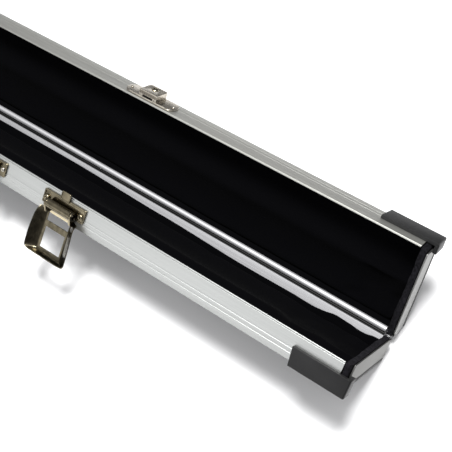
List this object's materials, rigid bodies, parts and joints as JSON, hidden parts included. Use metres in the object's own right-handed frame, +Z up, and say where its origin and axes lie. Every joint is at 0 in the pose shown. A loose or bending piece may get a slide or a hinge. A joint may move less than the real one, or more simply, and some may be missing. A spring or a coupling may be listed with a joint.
{
  "type": "cue case",
  "caption": "Long slim hinged cue case standing open as a V, with grooved metal rails, dark lining, hasp latches and a carrying handle.",
  "frame": {"origin": "middle of the bounding box at the level of the surface the open case stands on", "axes": "+X along the case, +Y from the base towards the lid, +Z up"},
  "size_m": [0.857, 0.1874, 0.0901],
  "materials": {
    "aluminium": "satin brushed extrusion, lines along the case",
    "end_aluminium": "satin grey sheet",
    "nickel": "bright plated steel, warm reflections",
    "pale_nickel": "bright pale plated steel",
    "velvet": "short black pile",
    "laminate": "fine-grained black sheet",
    "black_plastic": "moulded satin black",
    "steel": "plain bright steel"
  },
  "bodies": {
    "base": {"base_hinge_rail": "aluminium", "base_latch_rail": "aluminium", "base_panel": "laminate", "base_floor_pad": "velvet", "base_hinge_lining": "velvet", "base_latch_lining": "velvet", "base_end_block_left": "velvet", "base_end_plate_left": "end_aluminium", "base_corner_cap_left": "black_plastic", "base_end_block_right": "velvet", "base_end_plate_right": "end_aluminium", "base_corner_cap_right": "black_plastic", "latch_plate_left": "nickel", "latch_pin_left": "steel", "latch_rivet_left_a": "nickel", "latch_rivet_left_b": "nickel", "handle_bracket_left": "nickel", "handle_pin_left": "steel", "handle_rivet_left_a": "steel", "handle_rivet_left_b": "steel", "latch_plate_right": "nickel", "latch_pin_right": "steel", "latch_rivet_right_a": "nickel", "latch_rivet_right_b": "nickel", "handle_bracket_right": "nickel", "handle_pin_right": "steel", "handle_rivet_right_a": "steel", "handle_rivet_right_b": "steel"},
    "lid": {"lid_hinge_rail": "aluminium", "lid_latch_rail": "aluminium", "lid_panel": "laminate", "lid_floor_pad": "velvet", "lid_hinge_lining": "velvet", "lid_latch_lining": "velvet", "lid_end_block_left": "velvet", "lid_end_plate_left": "end_aluminium", "lid_corner_cap_left": "black_plastic", "lid_end_block_right": "velvet", "lid_end_plate_right": "end_aluminium", "lid_corner_cap_right": "black_plastic", "keeper_left": "pale_nickel", "keeper_rivet_left_a": "pale_nickel", "keeper_rivet_left_b": "pale_nickel", "keeper_right": "pale_nickel", "keeper_rivet_right_a": "pale_nickel", "keeper_rivet_right_b": "pale_nickel"},
    "lever_left": {"latch_lever_left": "nickel"},
    "lever_right": {"latch_lever_right": "nickel"},
    "lock_left": {"lock_cylinder_left": "nickel"},
    "lock_right": {"lock_cylinder_right": "nickel"},
    "handle": {"handle_grip": "black_plastic"}
  },
  "joints": [
    {"name": "lid_hinge", "type": "hinge", "parent": "base", "child": "lid", "pos_m": [0, 0.01563, 0.01459], "axis": [1, 0, 0], "range_deg": [0, 76.3]},
    {"name": "lever_left_swing", "type": "hinge", "parent": "base", "child": "lever_left", "pos_m": [-0.135, -0.05429, 0.08174], "axis": [-1, 0, 0], "range_deg": [0, 180]},
    {"name": "lever_right_swing", "type": "hinge", "parent": "base", "child": "lever_right", "pos_m": [0.135, -0.05429, 0.08174], "axis": [-1, 0, 0], "range_deg": [0, 180]},
    {"name": "lock_left_turn", "type": "hinge", "parent": "lid", "child": "lock_left", "pos_m": [-0.135, 0.08739, 0.0836], "axis": [0, 0.6177, 0.7864], "range_deg": [0, 90]},
    {"name": "lock_right_turn", "type": "hinge", "parent": "lid", "child": "lock_right", "pos_m": [0.135, 0.08739, 0.0836], "axis": [0, 0.6177, 0.7864], "range_deg": [0, 90]},
    {"name": "handle_swing", "type": "hinge", "parent": "base", "child": "handle", "pos_m": [0, -0.05065, 0.08359], "axis": [-1, 0, 0], "range_deg": [0, 95]}
  ]
}
